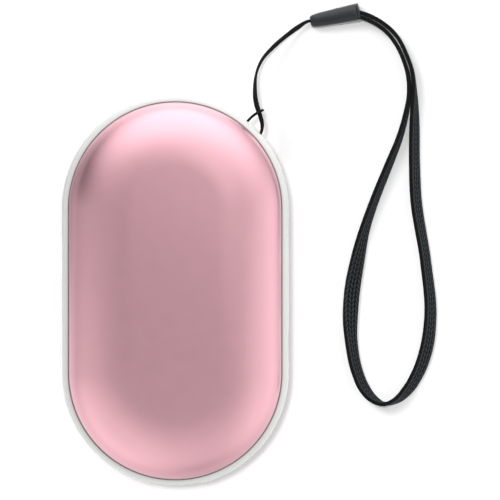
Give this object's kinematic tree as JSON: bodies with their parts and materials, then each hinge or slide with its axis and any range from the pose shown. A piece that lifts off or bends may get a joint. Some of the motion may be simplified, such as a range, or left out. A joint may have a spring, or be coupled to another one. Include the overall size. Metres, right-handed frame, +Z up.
{
  "type": "rechargeable hand warmer",
  "caption": "Pebble-shaped rechargeable hand warmer: two pink aluminium shells on a white frame, side button, USB sockets and a looped wrist strap.",
  "frame": {"origin": "on the table under the middle of the body, the body lying on the flat of its back shell", "axes": "+Y along the body towards the strap end, +X to the right in the picture, +Z up out of the front shell"},
  "size_m": [0.0959, 0.1236, 0.025],
  "materials": {
    "rose_aluminium": "bead blasted, anodised satin rose pink with a pearly sheen",
    "white_frame": "moulded, smooth semi-gloss white with a trace of green",
    "dark_liner": "moulded dark grey nylon, fine grain",
    "cradle_plastic": "moulded grey nylon",
    "heater_film": "amber polyimide film over an etched heating trace",
    "foam_pad": "off-white closed-cell silicone foam",
    "cell_pad": "grey sponge strip",
    "thermistor": "black bead in a flat sleeve",
    "red_wire": "red silicone insulation",
    "black_wire": "black silicone insulation",
    "cell_wrap": "blue shrink wrap, smooth",
    "nickel_strip": "nickel-plated, spot welded",
    "board": "green solder mask over glass-epoxy board",
    "chip": "black moulded package",
    "inductor": "pressed dark grey ferrite",
    "capacitor": "tan ceramic",
    "socket_steel": "bright nickel-plated sheet steel",
    "tongue_white": "white moulded insulator",
    "tongue_black": "black moulded insulator",
    "contact_gold": "gold flashed",
    "switch_black": "black moulded housing",
    "switch_stem": "orange moulded plunger",
    "button_white": "moulded white, semi-gloss",
    "led": "pale clear resin",
    "light_guide": "clear moulded polycarbonate, frosted at the pips",
    "screw_steel": "zinc-plated steel",
    "string_fabric": "braided black nylon",
    "sleeve_rubber": "charcoal moulded rubber, satin",
    "webbing_fabric": "woven black nylon webbing with lengthwise ribs"
  },
  "bodies": {
    "body": {"front_shell": "rose_aluminium", "back_shell": "rose_aluminium", "mid_frame": "white_frame", "front_liner": "dark_liner", "back_liner": "dark_liner", "front_heater_film": "heater_film", "back_heater_film": "heater_film", "front_foam_pad": "foam_pad", "back_foam_pad": "foam_pad", "front_thermistor": "thermistor", "back_thermistor": "thermistor", "front_heater_leads": "red_wire", "back_heater_leads": "red_wire", "cell_left": "cell_wrap", "cell_right": "cell_wrap", "cell_cradle": "cradle_plastic", "cell_pads": "cell_pad", "positive_strip": "nickel_strip", "negative_strip": "nickel_strip", "positive_lead": "red_wire", "negative_lead": "black_wire", "circuit_board": "board", "controller_chip": "chip", "power_inductor": "inductor", "power_mosfets": "chip", "board_capacitors": "capacitor", "usb_a_shell": "socket_steel", "usb_a_tongue": "tongue_white", "usb_a_contacts": "contact_gold", "usb_c_shell": "socket_steel", "usb_c_tongue": "tongue_black", "switch_body": "switch_black", "indicator_leds": "led", "led_light_guide": "light_guide", "board_screws": "screw_steel", "case_screws": "screw_steel", "strap_string": "string_fabric", "strap_sleeve": "sleeve_rubber", "strap_loop": "webbing_fabric"},
    "button": {"power_button": "button_white", "switch_stem": "switch_stem"}
  },
  "joints": [
    {"name": "power_button_press", "type": "slide", "parent": "body", "child": "button", "axis": [1, 0, 0], "range_m": [0, 0.0004], "stiffness_N_per_m": 4000}
  ]
}
